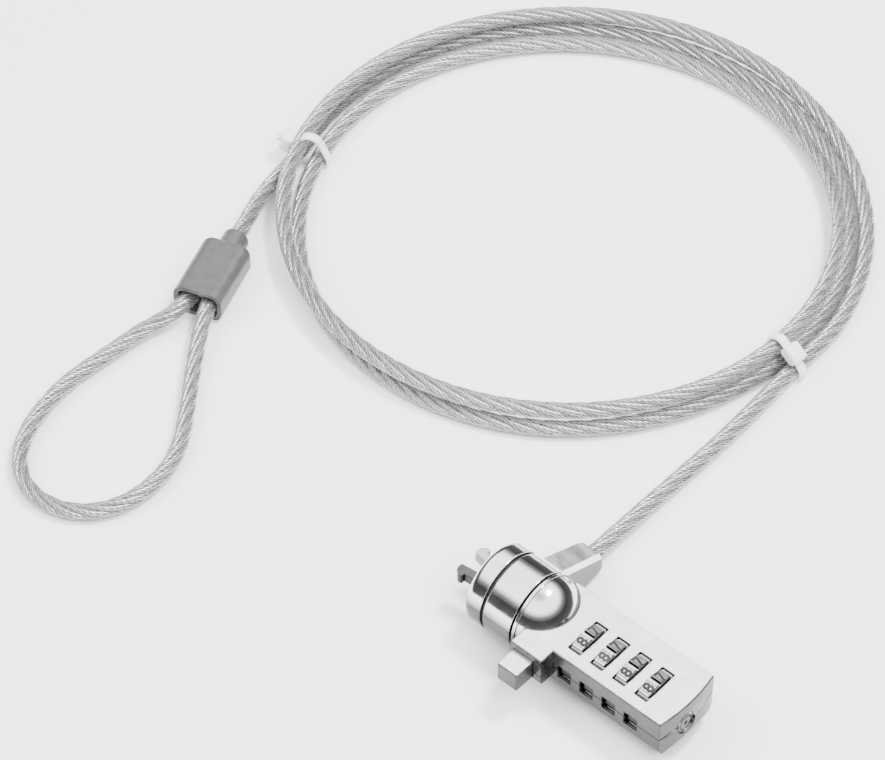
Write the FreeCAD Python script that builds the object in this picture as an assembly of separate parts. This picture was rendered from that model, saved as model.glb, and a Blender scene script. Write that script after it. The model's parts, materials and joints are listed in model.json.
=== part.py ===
"""Laptop cable lock: combination lock head on a swivelling steel cable with a loop. Millimetres.

X runs from the hooked nose to the end face, Y towards the side where the cable leaves, Z up from the
table that the lock lies on. The origin is under the middle of the lock head's box.
"""
import FreeCAD, Part
import math
import os

V = FreeCAD.Vector

# ---------------------------------------------------------------- driving dimensions
# Fits
RUN_FIT = 0.05
SEAT_GAP = 0.03
SEAM_GAP = 0.12
BODY_GAP = 0.2

# Drum
DRUM_R = 10.7
AXIS_Z = DRUM_R
COLLAR_LENGTH = 8.5
NOSE_LENGTH = 5.35
GROOVE_WIDTH = 0.8
GROOVE_DEPTH = 0.7
NOSE_ROUND = 1.9
EDGE_BEVEL = 0.3
NOSE_WALL = 2.0
SPIGOT_R = 5.6
SPIGOT_WALL = 1.4
SPIGOT_BORE_R = SPIGOT_R - SPIGOT_WALL
WASHER_INSET = 1.2

# Dome
DOME_INSET = 0.3
DOME_R = DRUM_R - DOME_INSET
DOME_FLANGE = 0.9
DOME_FACE = 0.3
DOME_BORE_DEPTH = 6.2
DOME_CAVITY_R = 5.0
SPIGOT_SEAT = 2.2

# Number wheels and what turns with them
WHEEL_COUNT = 4
WHEEL_PITCH = 6.62
DOME_TO_WHEEL = 5.55
FIRST_WHEEL = DOME_R + DOME_TO_WHEEL
LAST_WHEEL = FIRST_WHEEL + (WHEEL_COUNT - 1) * WHEEL_PITCH
PAD_COUNT = 10
PAD_FLAT_R = 7.2
PAD_HALF_ANGLE = 14.6
PAD_CORNER_R = PAD_FLAT_R / math.cos(math.radians(PAD_HALF_ANGLE))
GROOVE_HALF_ANGLE = 16.4
PAD_GROOVE_DEPTH = 0.45
WHEEL_WIDTH = 3.2
WHEEL_BEVEL = 0.3
WHEEL_GAP = 0.3
SPINDLE_DROP = 1.3
SPINDLE_Z = AXIS_Z - SPINDLE_DROP
RIB = 0.8
CHAMBER_HALF = (WHEEL_PITCH - RIB) / 2
WINDOW_GAP = 0.25
SIDE_WINDOW_GAP = 0.35
SIDE_WINDOW_BELOW = 1.9
SIDE_WINDOW_ABOVE = 2.0

# Case
CASE_FRONT = 3.0
END_BLOCK = 8.49
CASE_END = LAST_WHEEL + END_BLOCK
CASE_WIDTH = 19.4
CASE_HALF = CASE_WIDTH / 2
TOP_ABOVE_AXIS = 4.6
CASE_TOP = AXIS_Z + TOP_ABOVE_AXIS
SIDE_HEIGHT = 9.65
SIDE_LOW = CASE_TOP - SIDE_HEIGHT
SEAM_ABOVE_SPINDLE = 0.4
SEAM_Z = SPINDLE_Z + SEAM_ABOVE_SPINDLE
BELLY_INSET = 3.3
BELLY_END_INSET = 2.7
UPPER_BULGE = 1.0
END_BULGE = 1.6
TOP_WALL = 1.2
NEAR_WALL = 0.7
FAR_WALL = 1.2
FLOOR_WALL = 1.1
SPINDLE_Y = -CASE_HALF + NEAR_WALL + PAD_CORNER_R + 0.19

# Spindle, its spring and the reset plug
SPINDLE_R = 1.5
SPINDLE_TRAVEL = 1.25
SPINDLE_PLAY = 0.4
SPINDLE_END_PLAY = 0.95
FIN_HEIGHT = 0.8
FIN_WIDTH = 0.8
CHAMBER_R = SPINDLE_R + FIN_HEIGHT + 0.4
SLEEVE_THICK = 0.9
SLEEVE_R = CHAMBER_R + SLEEVE_THICK
SLEEVE_END_GAP = 0.26
SLEEVE_LENGTH = 2 * (CHAMBER_HALF - SLEEVE_END_GAP)
SLEEVE_WALL = 1.4
FIN_LENGTH = SLEEVE_LENGTH - SLEEVE_WALL - SPINDLE_PLAY - SPINDLE_TRAVEL - SPINDLE_END_PLAY
SPINDLE_BACK = LAST_WHEEL + CHAMBER_HALF + 0.48
PLUG_R = 2.83
PLUG_LENGTH = 2.9
PLUG_BACK = CASE_END + UPPER_BULGE - PLUG_LENGTH
PLUG_PROUD = 0.1
PLUG_RING_INNER = 0.62
PLUG_RING_OUTER = 0.72
PLUG_DIMPLE_R = 0.5
PLUG_DIMPLE_DEPTH = 0.9

# Hooks
HOOK_PIVOT = 11.8
HOOK_PIVOT_Y = 2.0
HOOK_LENGTH = 10.6
HOOK_THICK = 2.8
HOOK_HALF_WIDTH = 1.15
HOOK_BARB = 2.05
HOOK_TIP_CORNER = 0.5
HOOK_SPREAD = 8.0
HOOK_BOSS_R = 1.35
HOOK_PIN_R = 0.7
HOOK_PIN_LENGTH = 8.4
NOSE_SLOT_HALF = 3.95
NOSE_SLOT_GAP = 0.15

# Release button and the slider that it drives
EAR_LENGTH = 9.5
EAR_DEPTH = 4.25
EAR_WALL = 0.9
EAR_FLOOR = 0.7
EAR_ROUND = 0.8
BUTTON_FRONT = 4.15
BUTTON_WIDTH = 5.85
BUTTON_HEIGHT = 5.5
BUTTON_PROUD = 5.85
BUTTON_DEPTH = 8.4
BUTTON_TRAVEL = 2.5
BUTTON_GAP = 0.12
BUTTON_BEVEL = 0.3
BUTTON_TIP = -CASE_HALF - EAR_DEPTH - BUTTON_PROUD
BUTTON_INNER = BUTTON_TIP + BUTTON_DEPTH
FLANGE_RIM = 0.35
FLANGE_THICK = 0.9
EAR_BOTTOM = AXIS_Z - BUTTON_HEIGHT / 2 - FLANGE_RIM - EAR_FLOOR
SLIDER_THICK = 1.2
SLIDER_WIDTH = 2.5
SLIDER_CLEAR = 0.3
SLIDER_LOW = AXIS_Z - HOOK_THICK / 2 - SLIDER_CLEAR - SLIDER_THICK
STEM_FRONT = BUTTON_FRONT + 0.4
STEM_WIDTH = 2.0
SPINDLE_FRONT = STEM_FRONT + STEM_WIDTH + 0.45
TONGUE_FRONT = 2.2 - HOOK_PIVOT
DRIVE_POST_R = 0.6

# Springs and screws
WIRE_R = 0.25
WIRE_ARCS = 3
BUTTON_SPRING_R = 1.5
BUTTON_SPRING_TURNS = 5
BUTTON_SPRING_OFFSET = 0.925
BUTTON_SPRING_X = BUTTON_FRONT + BUTTON_WIDTH / 2 + BUTTON_SPRING_OFFSET
BUTTON_SPRING_END = -DOME_CAVITY_R
SPINDLE_SPRING_R = 1.25
SPINDLE_SPRING_TURNS = 5
SPRING_BORE_GAP = 0.35
DETENT_THICK = 0.3
DETENT_HEIGHT = 6.0
DETENT_SLOT = 0.9
FINGER_GAP = 0.25
FINGER_HEIGHT = 0.8
SCREW_R = 0.95
SCREW_LENGTH = 9.5
SCREW_HEAD_R = 1.3
SCREW_HEAD_THICK = 1.0
SCREW_SINK = 0.3
SCREW_WALL = 0.5303
SCREW_Y = SPRING_BORE_GAP + SPINDLE_SPRING_R + WIRE_R + SCREW_WALL + SCREW_R - SPINDLE_Y
SCREW_FRONT_X = FIRST_WHEEL - CHAMBER_HALF - 1.64
SCREW_BACK_X = CASE_END - 4.0
SCREW_SPOTS = [(x, side * SCREW_Y) for x in (SCREW_FRONT_X, SCREW_BACK_X) for side in (-1, 1)]

# Cable, and the lug that it leaves from
CABLE_D = 4.5
CABLE_R = CABLE_D / 2
LUG_LENGTH = 14.8
LUG_REACH = DRUM_R + LUG_LENGTH
LUG_BASE_HALF = 4.05
LUG_BASE_X = -LUG_BASE_HALF - 0.1
LUG_LEAN = 1.65
LUG_X = LUG_BASE_X - LUG_LEAN
LUG_TIP_HALF = CABLE_R + 1.3
SOCKET_Z = CABLE_R + 0.9
LUG_BASE_TOP = AXIS_Z + 6.0
LUG_TIP_TOP = SOCKET_Z + CABLE_R + 1.3
LUG_BASE_LOW = 2.2
LUG_TIP_LOW = 0.15
LUG_TIP_STEP = 2.2
LUG_CORNER = 1.1
SOCKET_DEPTH = 11.5
STOP_LENGTH = 6.0
STOP_R = CABLE_R + 0.15
LUG_PIN_R = 0.8
LUG_PIN_INSET = 8.5

# Where the collar's back plane and the drum axis stand, so that the origin is under the head's middle
HOOK_TIP_X = HOOK_PIVOT + HOOK_LENGTH * math.cos(math.radians(HOOK_SPREAD)) \
    + (HOOK_HALF_WIDTH - HOOK_TIP_CORNER) * math.sin(math.radians(HOOK_SPREAD))
BACK_X = (HOOK_TIP_X - CASE_END - END_BULGE) / 2
AXIS_Y = (-BUTTON_TIP - LUG_REACH) / 2

# Ferrule
FERRULE_MOUTH = V(-144.4, 18.0, 0)
FERRULE_ANGLE = -69.5
CRIMP_WALL = 1.1
CRIMP_LENGTH = 11.0
CRIMP_SETBACK = 4.5
FERRULE_WALL = 1.2
LEG_HALF_GAP = CABLE_R + 0.05
FERRULE_WIDTH = 2 * (LEG_HALF_GAP + CABLE_R + CRIMP_WALL + FERRULE_WALL) - 0.5
FERRULE_HEIGHT = CABLE_D + 2 * (CRIMP_WALL + FERRULE_WALL) - 0.1
FERRULE_LENGTH = 20.0
FERRULE_NECK = 5.2
NECK_R = CABLE_R + 1.25
FERRULE_CORNER = 3.0
LEG_SPLAY = 1.0
LEG_BEND = 4.0

# Coil and its ties
COIL_CENTRE = V(-94.1, 106.0, 0)
COIL_R = 74.6
COIL_OUT = 2.7
COIL_IN = 10.6
COIL_OFFSET = 1.2
COIL_OFFSET_ANGLE = 230.0
COIL_HEIGHT = 2 * CABLE_D + 0.1
COIL_CORNER = 3.2
TIE_WIDTH = 2.4
TIE_THICK = 1.1
TIE_GAP = 0.1
TIE_HEAD = 5.0
TIE_LOWER_ANGLE = -2.0
TIE_UPPER_ANGLE = 203.0


# ---------------------------------------------------------------- helpers
def box(x0, x1, y0, y1, z0, z1):
    """Box between the two corners, in the head's measures: x from the collar's back, y from the axis."""
    return Part.makeBox(x1 - x0, y1 - y0, z1 - z0, V(BACK_X + x0, AXIS_Y + y0, z0))


def rod_x(radius, x0, x1, y=0.0, z=AXIS_Z):
    """Cylinder along X."""
    return Part.makeCylinder(radius, x1 - x0, V(BACK_X + x0, AXIS_Y + y, z), V(1, 0, 0))


def rod_y(radius, y0, y1, x, z):
    """Cylinder along Y."""
    return Part.makeCylinder(radius, y1 - y0, V(BACK_X + x, AXIS_Y + y0, z), V(0, 1, 0))


def rod_z(radius, z0, z1, x, y):
    """Cylinder along Z."""
    return Part.makeCylinder(radius, z1 - z0, V(BACK_X + x, AXIS_Y + y, z0), V(0, 0, 1))


def turned(profile, y=0.0, z=AXIS_Z):
    """Solid turned about X from closed (x, radius) points."""
    corners = [V(BACK_X + x, AXIS_Y + y, z + r) for x, r in profile]
    face = Part.Face(Part.makePolygon(corners + corners[:1]))
    return face.revolve(V(BACK_X, AXIS_Y + y, z), V(1, 0, 0), 360)


def main_solid(shape):
    """Largest solid of a cut shape, without the crumbs that a cut leaves."""
    return max(shape.Solids, key=lambda solid: solid.Volume)


def joined(first, *others):
    """Union of the solids, with split faces merged."""
    result = first
    for other in others:
        result = result.fuse(other)
    return result.removeSplitter()


def coil_spring(radius, length, turns, place, direction):
    """Helical spring of round wire, from its outside end faces."""
    rise = length - 2 * WIRE_R
    helix = Part.makeHelix(rise / turns, rise, radius)
    slope = rise / (turns * 2 * math.pi * radius)
    circle = Part.Circle(V(radius, 0, 0), V(0, 1, slope), WIRE_R)
    arc = 2 * math.pi / WIRE_ARCS
    section = Part.Wire([Part.Arc(circle, part * arc, (part + 1) * arc).toShape() for part in range(WIRE_ARCS)])
    wire = Part.Wire(helix).makePipeShell([section], True, True)
    wire.translate(V(0, 0, WIRE_R))
    wire.Placement = FreeCAD.Placement(place, FreeCAD.Rotation(V(0, 0, 1), direction)) * wire.Placement
    return wire


def corner_arcs(points):
    """Wire of straight runs and tangent arcs through a cord's points, with its arc radii."""
    edges = []
    radii = []
    last = points[0]
    for before, here, after in zip(points, points[1:], points[2:]):
        to_start = before - here
        to_end = after - here
        turn = math.pi - to_start.getAngle(to_end)
        shorter = min(to_start.Length, to_end.Length)
        reach = 0.45 * shorter
        radius = reach / math.tan(turn / 2)
        start = here + to_start.normalize() * reach
        end = here + to_end.normalize() * reach
        middle_way = (to_start + to_end).normalize()
        middle = here + middle_way * (radius / math.cos(turn / 2) - radius)
        edges.append(Part.LineSegment(last, start).toShape())
        edges.append(Part.Arc(start, middle, end).toShape())
        radii.append(radius)
        last = end
    edges.append(Part.LineSegment(last, points[-1]).toShape())
    return Part.Wire(edges), radii


def cord_tube(name, points):
    """Round cord along the points, with its radii and volume reported."""
    path, radii = corner_arcs(points)
    start_way = points[1] - points[0]
    section = Part.Wire(Part.makeCircle(CABLE_R, points[0], start_way))
    tube = path.makePipeShell([section], True, False)
    expected = math.pi * CABLE_R ** 2 * path.Length
    print(name, "length %.1f" % path.Length, "volume share %.4f" % (tube.Volume / expected))
    print(name, "radii", ", ".join("%.1f" % r for r in radii))
    return tube


# ---------------------------------------------------------------- drum
def nose_ring():
    """Front ring of the drum, with the slot for the hooks."""
    back = -COLLAR_LENGTH - GROOVE_WIDTH
    front = back - NOSE_LENGTH
    ring = rod_x(DRUM_R, front, back)
    front_edge = [e for e in ring.Edges if abs(e.BoundBox.XMin - BACK_X - front) < 0.01
                  and abs(e.BoundBox.XMax - BACK_X - front) < 0.01]
    back_edge = [e for e in ring.Edges if abs(e.BoundBox.XMin - BACK_X - back) < 0.01
                 and abs(e.BoundBox.XMax - BACK_X - back) < 0.01]
    ring = ring.makeFillet(NOSE_ROUND, front_edge[:1])
    ring = ring.makeFillet(EDGE_BEVEL, [e for e in ring.Edges if e.CenterOfMass.isEqual(
        back_edge[0].CenterOfMass, 0.01) and abs(e.Length - 2 * math.pi * DRUM_R) < 0.1])
    ring = ring.cut(rod_x(SPIGOT_R + SEAT_GAP, front + NOSE_WALL, back + 1))
    half_height = HOOK_THICK / 2 + NOSE_SLOT_GAP
    slot = box(front - 1, front + NOSE_WALL + 1, -NOSE_SLOT_HALF, NOSE_SLOT_HALF,
               AXIS_Z - half_height, AXIS_Z + half_height)
    return ring.cut(slot)


def groove_ring():
    """Black ring in the groove between the nose ring and the collar."""
    front = -COLLAR_LENGTH - GROOVE_WIDTH + SEAT_GAP
    back = -COLLAR_LENGTH - BODY_GAP
    ring = rod_x(DRUM_R - GROOVE_DEPTH, front, back)
    return ring.cut(rod_x(SPIGOT_R + SEAT_GAP, front - 1, back + 1))


def spigot():
    """Hollow post that carries the nose ring and that the collar turns on."""
    front = -COLLAR_LENGTH - GROOVE_WIDTH - NOSE_LENGTH + NOSE_WALL + SEAT_GAP
    back = DOME_FACE + SPIGOT_SEAT - SEAT_GAP
    post = rod_x(SPIGOT_R, front, back).cut(rod_x(SPIGOT_BORE_R, front - 1, back + 1))
    for side in (-1, 1):
        hole = rod_z(HOOK_PIN_R + SEAT_GAP, AXIS_Z - HOOK_PIN_LENGTH / 2 - SEAT_GAP,
                     AXIS_Z + HOOK_PIN_LENGTH / 2 + SEAT_GAP, -HOOK_PIVOT, side * HOOK_PIVOT_Y)
        post = post.cut(hole)
    half_height = HOOK_THICK / 2 + NOSE_SLOT_GAP
    mouth = box(front - 1, -HOOK_PIVOT + 3.2, -NOSE_SLOT_HALF - 1, NOSE_SLOT_HALF + 1,
                AXIS_Z - half_height, AXIS_Z + half_height)
    return post.cut(mouth)


def lug_section(y, centre, half_width, low, high):
    """Eight-cornered section of the lug at one distance from the axis."""
    c = LUG_CORNER
    x = BACK_X + centre
    pairs = [(-half_width + c, low), (half_width - c, low), (half_width, low + c), (half_width, high - c),
             (half_width - c, high), (-half_width + c, high), (-half_width, high - c), (-half_width, low + c)]
    corners = [V(x + dx, AXIS_Y + y, z) for dx, z in pairs]
    return Part.makePolygon(corners + corners[:1])


def swivel_collar():
    """Turning middle of the drum, with the sloping cable lug."""
    front = -COLLAR_LENGTH
    back = -BODY_GAP
    collar = rod_x(DRUM_R, front, back)
    rims = [e for e in collar.Edges if abs(e.Length - 2 * math.pi * DRUM_R) < 0.1]
    collar = collar.makeFillet(EDGE_BEVEL, rims)
    lug = Part.makeLoft([lug_section(SPIGOT_R + 2, LUG_BASE_X, LUG_BASE_HALF, LUG_BASE_LOW, LUG_BASE_TOP),
                         lug_section(LUG_REACH - LUG_TIP_STEP, LUG_X, LUG_TIP_HALF + 0.3, LUG_TIP_LOW,
                                     LUG_TIP_TOP + 0.8),
                         lug_section(LUG_REACH, LUG_X, LUG_TIP_HALF, LUG_TIP_LOW + 0.2, LUG_TIP_TOP - 0.5)],
                        True, True)
    collar = joined(collar, lug)
    collar = collar.cut(rod_x(SPIGOT_R + RUN_FIT, front - 1, back + 1))
    socket = rod_y(CABLE_R + SEAT_GAP, LUG_REACH - SOCKET_DEPTH, LUG_REACH + 1, LUG_X, SOCKET_Z)
    stop_hole = rod_y(STOP_R + SEAT_GAP, LUG_REACH - SOCKET_DEPTH - SEAT_GAP,
                      LUG_REACH - SOCKET_DEPTH + STOP_LENGTH + SEAT_GAP, LUG_X, SOCKET_Z)
    pin_hole = rod_z(LUG_PIN_R + SEAT_GAP, SOCKET_Z - STOP_R - 3, SOCKET_Z + STOP_R + 1,
                     LUG_X, LUG_REACH - LUG_PIN_INSET)
    return collar.cut(socket).cut(stop_hole).cut(pin_hole)


def cable_stop():
    """Crimped sleeve on the cable's end inside the lug."""
    start = LUG_REACH - SOCKET_DEPTH
    sleeve = rod_y(STOP_R, start, start + STOP_LENGTH, LUG_X, SOCKET_Z)
    groove = rod_z(LUG_PIN_R + SEAT_GAP, 0, 2 * AXIS_Z, LUG_X, LUG_REACH - LUG_PIN_INSET)
    return sleeve.cut(groove)


def lug_pin():
    """Pin that holds the crimped sleeve in the lug."""
    return rod_z(LUG_PIN_R, SOCKET_Z - STOP_R + 0.1, SOCKET_Z + STOP_R + 0.9,
                 LUG_X, LUG_REACH - LUG_PIN_INSET)


def collar_washer():
    """Thin washer between the collar and the dome."""
    return rod_x(DRUM_R - WASHER_INSET, SEAT_GAP, DOME_FACE - SEAT_GAP).cut(rod_x(SPIGOT_R + SEAT_GAP, -1, 1))


def button_bay(gap):
    """Space that the button and its flange travel in, grown by a gap."""
    rim = FLANGE_RIM + gap
    start = -CASE_HALF - EAR_DEPTH + EAR_WALL
    inner = start + FLANGE_THICK + BUTTON_TRAVEL + BODY_GAP
    half = BUTTON_HEIGHT / 2
    wide = box(BUTTON_FRONT - rim, BUTTON_FRONT + BUTTON_WIDTH + rim, start, inner,
               AXIS_Z - half - rim, AXIS_Z + half + rim)
    deep = box(BUTTON_FRONT - gap, BUTTON_FRONT + BUTTON_WIDTH + gap, start,
               BUTTON_INNER + BUTTON_TRAVEL + BODY_GAP, AXIS_Z - half - gap, AXIS_Z + half + gap)
    return joined(wide, deep)


def spring_bore():
    """Blind bore for the button's spring."""
    return rod_y(BUTTON_SPRING_R + WIRE_R + SPRING_BORE_GAP, BUTTON_INNER - 1, BUTTON_SPRING_END + BODY_GAP,
                 BUTTON_SPRING_X, AXIS_Z)


def slider_way():
    """Space that the slider's stem sweeps on its way into the dome."""
    return box(STEM_FRONT - SLIDER_CLEAR, STEM_FRONT + STEM_WIDTH + SLIDER_CLEAR, BUTTON_INNER - 1,
               BUTTON_TRAVEL + SLIDER_CLEAR, SLIDER_LOW - SLIDER_CLEAR,
               SLIDER_LOW + SLIDER_THICK + SLIDER_CLEAR)


def dome():
    """Half-ball end of the head's spigot, hollow inside for the slider."""
    ball = Part.makeSphere(DOME_R, V(BACK_X, AXIS_Y, AXIS_Z))
    ball = ball.common(box(DOME_FACE, DOME_R + 1, -DOME_R - 1, DOME_R + 1, -1, 2 * AXIS_Z + 1))
    ball = joined(ball, rod_x(DRUM_R, DOME_FACE, DOME_FACE + DOME_FLANGE))
    rim = [e for e in ball.Edges if abs(e.Length - 2 * math.pi * DRUM_R) < 0.1]
    ball = ball.makeFillet(EDGE_BEVEL / 2, rim)
    ball = ball.cut(rod_x(SPIGOT_R + SEAT_GAP, DOME_FACE - 1, DOME_FACE + SPIGOT_SEAT))
    ball = ball.cut(rod_x(DOME_CAVITY_R, DOME_FACE, DOME_FACE + DOME_BORE_DEPTH))
    ball = ball.cut(rod_x(SPINDLE_R + RUN_FIT, DOME_FACE, DOME_R + 1, SPINDLE_Y, SPINDLE_Z))
    return ball.cut(button_bay(BUTTON_GAP)).cut(slider_way()).cut(spring_bore())


# ---------------------------------------------------------------- case
def end_outline(bulge):
    """Plan outline of the case with its bowed end, as a face at the table."""
    front = BACK_X + CASE_FRONT
    end = BACK_X + CASE_END
    near = AXIS_Y - CASE_HALF
    far = AXIS_Y + CASE_HALF
    bow = Part.Arc(V(end, near, 0), V(end + bulge, AXIS_Y, 0), V(end, far, 0)).toShape()
    sides = Part.makePolygon([V(end, far, 0), V(front, far, 0), V(front, near, 0), V(end, near, 0)])
    return Part.Face(Part.Wire([bow] + sides.Edges))


def prism_x(section, x0, x1):
    """Prism along X over (y, z) points."""
    corners = [V(BACK_X + x0, AXIS_Y + y, z) for y, z in section]
    return Part.Face(Part.makePolygon(corners + corners[:1])).extrude(V(x1 - x0, 0, 0))


def prism_y(section, y0, y1):
    """Prism along Y over (x, z) points."""
    corners = [V(BACK_X + x, AXIS_Y + y0, z) for x, z in section]
    return Part.Face(Part.makePolygon(corners + corners[:1])).extrude(V(0, y1 - y0, 0))


def wheel_x(index):
    """Middle plane of a number wheel."""
    return FIRST_WHEEL + index * WHEEL_PITCH


def wheel_hollow():
    """Chambers of the wheels, the way of the detent spring, and the bores along the spindle."""
    near = -CASE_HALF + NEAR_WALL
    far = CASE_HALF - FAR_WALL
    section = [(near, CASE_TOP - TOP_WALL), (near, SIDE_LOW + 0.3), (near + BELLY_INSET - 0.4, FLOOR_WALL),
               (far - BELLY_INSET + 0.4, FLOOR_WALL), (far, SIDE_LOW), (far, CASE_TOP - TOP_WALL)]
    hollow = box(FIRST_WHEEL - CHAMBER_HALF, LAST_WHEEL + CHAMBER_HALF, far - DETENT_SLOT, far,
                 SPINDLE_Z - DETENT_HEIGHT / 2 - BODY_GAP, SPINDLE_Z + DETENT_HEIGHT / 2 + BODY_GAP)
    window = WHEEL_WIDTH / 2 + WINDOW_GAP
    side_window = WHEEL_WIDTH / 2 + SIDE_WINDOW_GAP
    for index in range(WHEEL_COUNT):
        x = wheel_x(index)
        hollow = hollow.fuse(prism_x(section, x - CHAMBER_HALF, x + CHAMBER_HALF))
        hollow = hollow.fuse(rod_x(PAD_CORNER_R + WHEEL_GAP, x - window, x + window, SPINDLE_Y, SPINDLE_Z))
        hollow = hollow.fuse(box(x - side_window, x + side_window, -CASE_HALF - 1, near + 1,
                                 SPINDLE_Z - SIDE_WINDOW_BELOW, SPINDLE_Z + SIDE_WINDOW_ABOVE))
    hollow = hollow.fuse(rod_x(SPINDLE_R + RUN_FIT, SPINDLE_FRONT - 1, SPINDLE_BACK, SPINDLE_Y, SPINDLE_Z))
    hollow = hollow.fuse(rod_x(SPINDLE_SPRING_R + WIRE_R + SPRING_BORE_GAP, SPINDLE_BACK - 0.5, PLUG_BACK,
                               SPINDLE_Y, SPINDLE_Z))
    return hollow.fuse(rod_x(PLUG_R + RUN_FIT, PLUG_BACK, CASE_END + END_BULGE + 1, SPINDLE_Y, SPINDLE_Z))


def case_block():
    """Outsides of the upper case, the lower case and the ear, before they are split and hollowed."""
    upper = end_outline(UPPER_BULGE).extrude(V(0, 0, CASE_TOP))
    lower = end_outline(END_BULGE).extrude(V(0, 0, CASE_TOP))
    hull = [(-CASE_HALF, CASE_TOP), (-CASE_HALF, SIDE_LOW), (-CASE_HALF + BELLY_INSET, 0),
            (CASE_HALF - BELLY_INSET, 0), (CASE_HALF, SIDE_LOW), (CASE_HALF, CASE_TOP)]
    across = prism_x(hull, CASE_FRONT, CASE_END + END_BULGE + 1)
    slope = [(CASE_FRONT, 0), (CASE_END - BELLY_END_INSET, 0), (CASE_END + END_BULGE, SIDE_LOW),
             (CASE_END + END_BULGE, CASE_TOP), (CASE_FRONT, CASE_TOP)]
    lower = lower.common(across).common(prism_y(slope, -CASE_HALF - 1, CASE_HALF + 1))
    ear = box(CASE_FRONT, CASE_FRONT + EAR_LENGTH, -CASE_HALF - EAR_DEPTH, 0, EAR_BOTTOM, CASE_TOP)
    foot = [e for e in ear.Edges
            if e.BoundBox.ZMax < EAR_BOTTOM + 0.01 and e.BoundBox.YMax < AXIS_Y - CASE_HALF - 1]
    return upper.common(across), lower, ear.makeFillet(EAR_ROUND, foot)


def shell_hollow():
    """Everything taken out of both shells."""
    hollow = wheel_hollow()
    hollow = hollow.fuse(Part.makeSphere(DOME_R + SEAT_GAP, V(BACK_X, AXIS_Y, AXIS_Z)))
    hollow = hollow.fuse(button_bay(BUTTON_GAP)).fuse(spring_bore()).fuse(slider_way())
    half = BUTTON_HEIGHT / 2 + BUTTON_GAP
    mouth = box(BUTTON_FRONT - BUTTON_GAP, BUTTON_FRONT + BUTTON_WIDTH + BUTTON_GAP,
                -CASE_HALF - EAR_DEPTH - 1, -CASE_HALF, AXIS_Z - half, AXIS_Z + half)
    return hollow.fuse(mouth)


def screw_hole(x, y):
    """Hole for one shell screw, through the lower shell and blind in the upper."""
    head = rod_z(SCREW_HEAD_R + SEAT_GAP, -1, SCREW_SINK + SCREW_HEAD_THICK, x, y)
    shank = rod_z(SCREW_R + SEAT_GAP, 0, SCREW_SINK + SCREW_HEAD_THICK + SCREW_LENGTH + 0.1, x, y)
    return head.fuse(shank)


def upper_shell(hollow):
    """Upper half of the case, with the wheel windows."""
    upper, lower, ear = case_block()
    above = box(0, 2 * CASE_END, -CASE_WIDTH, CASE_WIDTH, SEAM_Z, CASE_TOP + 1)
    shell = joined(upper.common(above), ear.common(above))
    top_edges = [e for e in shell.Edges if e.BoundBox.ZMin > CASE_TOP - 0.01]
    shell = shell.makeChamfer(EDGE_BEVEL, top_edges)
    shell = shell.cut(hollow)
    for x, y in SCREW_SPOTS:
        shell = shell.cut(screw_hole(x, y))
    return main_solid(shell)


def lower_shell(hollow):
    """Lower half of the case, the belly that the head lies on."""
    upper, lower, ear = case_block()
    below = box(0, 2 * CASE_END, -CASE_WIDTH, CASE_WIDTH, -1, SEAM_Z - SEAM_GAP)
    shell = joined(lower.common(below), ear.common(below)).cut(hollow)
    for x, y in SCREW_SPOTS:
        shell = shell.cut(screw_hole(x, y))
    return main_solid(shell)


def shell_screws():
    """Four screws that hold the shells together from below."""
    screws = []
    for x, y in SCREW_SPOTS:
        head = rod_z(SCREW_HEAD_R, SCREW_SINK, SCREW_SINK + SCREW_HEAD_THICK - SEAT_GAP, x, y)
        shank = rod_z(SCREW_R, SCREW_SINK, SCREW_SINK + SCREW_HEAD_THICK + SCREW_LENGTH, x, y)
        slot = box(x - 1.0, x + 1.0, y - 0.2, y + 0.2, 0, SCREW_SINK + 0.5)
        screws.append(joined(head, shank).cut(slot))
    return Part.makeCompound(screws)


# ---------------------------------------------------------------- wheels and spindle
def number_wheel(index):
    """Wheel with ten flat number pads and grooves between them."""
    step = 360 / PAD_COUNT
    groove_r = PAD_FLAT_R - PAD_GROOVE_DEPTH
    outline = []
    for pad in range(PAD_COUNT):
        middle = (pad + 0.5) * step
        for angle, radius in ((-GROOVE_HALF_ANGLE, groove_r), (-PAD_HALF_ANGLE, PAD_CORNER_R),
                              (PAD_HALF_ANGLE, PAD_CORNER_R), (GROOVE_HALF_ANGLE, groove_r)):
            a = math.radians(middle + angle)
            outline.append((SPINDLE_Y + radius * math.sin(a), SPINDLE_Z + radius * math.cos(a)))
    x = wheel_x(index)
    front = x - WHEEL_WIDTH / 2
    back = x + WHEEL_WIDTH / 2
    wheel = prism_x(outline, front, back)
    rim = PAD_CORNER_R
    blank = turned([(front, 0), (front, rim - WHEEL_BEVEL), (front + WHEEL_BEVEL, rim),
                    (back - WHEEL_BEVEL, rim), (back, rim - WHEEL_BEVEL), (back, 0)], SPINDLE_Y, SPINDLE_Z)
    return wheel.common(blank).cut(rod_x(SLEEVE_R + SEAT_GAP, front - 1, back + 1, SPINDLE_Y, SPINDLE_Z))


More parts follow.
